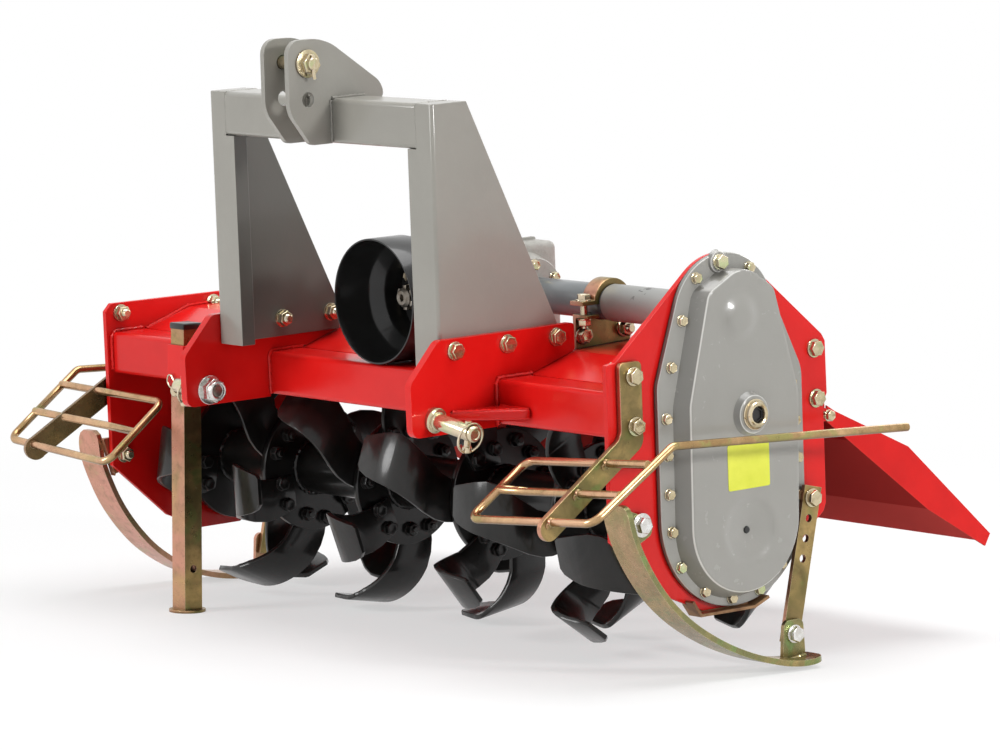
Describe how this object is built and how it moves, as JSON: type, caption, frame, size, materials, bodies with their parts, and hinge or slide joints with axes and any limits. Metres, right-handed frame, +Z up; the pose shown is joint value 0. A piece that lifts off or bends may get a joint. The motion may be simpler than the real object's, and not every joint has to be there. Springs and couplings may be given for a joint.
{
  "type": "rotary tiller",
  "caption": "Tractor-mounted rotary tiller with three-point mast, side chain drive, hooded tine rotor, hinged tailboard, skids, front guards and a parking stand.",
  "frame": {"origin": "centre of the bounding box's footprint, on the ground the skids and the stand's foot rest on", "axes": "+X towards the chain-case side along the rotor, -Y towards the tractor, +Z up"},
  "size_m": [1.305, 0.8746, 0.8262],
  "materials": {
    "red_paint": "gloss",
    "grey_paint": "satin",
    "black_paint": "satin",
    "yellow_zinc": "yellow passivated zinc",
    "bare_steel": "machined",
    "black_plastic": "moulded",
    "gasket": "matte"
  },
  "bodies": {
    "frame": {"bearing_housing_left": "red_paint", "case_gasket": "gasket", "case_shoe": "yellow_zinc", "chain_case_cover": "grey_paint", "clamp_bracket": "yellow_zinc", "cross_beam": "red_paint", "drive_sleeve": "grey_paint", "drive_tube": "grey_paint", "end_plate_left": "red_paint", "end_plate_right": "red_paint", "gearbox_housing": "grey_paint", "guard_arm_left": "yellow_zinc", "guard_arm_right": "yellow_zinc", "hinge_knuckles": "red_paint", "hinge_pin": "bare_steel", "hitch_pin_left": "yellow_zinc", "hitch_pin_right": "yellow_zinc", "hitch_plate_left": "red_paint", "hitch_plate_right": "red_paint", "hood": "red_paint", "mast_crossbar": "grey_paint", "mast_leg_left": "grey_paint", "mast_leg_right": "grey_paint", "pto_guard": "black_plastic", "pto_guard_back": "black_plastic", "side_guard_left": "yellow_zinc", "side_guard_right": "yellow_zinc", "skid_left": "yellow_zinc", "skid_right": "yellow_zinc", "skid_strut_left": "yellow_zinc", "skid_strut_right": "yellow_zinc", "stand_sleeve": "red_paint", "top_link_pin": "yellow_zinc", "top_link_plate_left": "grey_paint", "top_link_plate_right": "grey_paint", "tube_clamp": "yellow_zinc"},
    "rotor": {"rotor_flange_1": "black_paint", "rotor_flange_2": "black_paint", "rotor_flange_3": "black_paint", "rotor_flange_4": "black_paint", "rotor_flange_5": "black_paint", "rotor_flange_6": "black_paint", "rotor_shaft": "black_paint", "tines_1": "black_paint", "tines_2": "black_paint", "tines_3": "black_paint", "tines_4": "black_paint", "tines_5": "black_paint", "tines_6": "black_paint"},
    "pto_input": {"pto_shaft": "bare_steel"},
    "tailboard_body": {"tailboard": "red_paint"},
    "stand": {"stand_cap": "black_plastic", "stand_leg": "yellow_zinc"}
  },
  "joints": [
    {"name": "rotor_spin", "type": "hinge", "parent": "frame", "child": "rotor", "pos_m": [0.075, -0.04858, 0.18988], "axis": [1, 0, 0], "continuous": true},
    {"name": "pto_spin", "type": "hinge", "parent": "frame", "child": "pto_input", "pos_m": [0.075, -0.15195, 0.47336], "axis": [0, -0.9989, -0.0468], "continuous": true},
    {"name": "tailboard_hinge", "type": "hinge", "parent": "frame", "child": "tailboard_body", "pos_m": [0.075, 0.12524, 0.32616], "axis": [1, 0, 0], "range_deg": [-28, 24]},
    {"name": "stand_slide", "type": "slide", "parent": "frame", "child": "stand", "axis": [0, 0, 1], "range_m": [0, 0.22]}
  ],
  "couplings": [
    {"joint": "pto_spin", "follows": "rotor_spin", "ratio": 2.84}
  ]
}
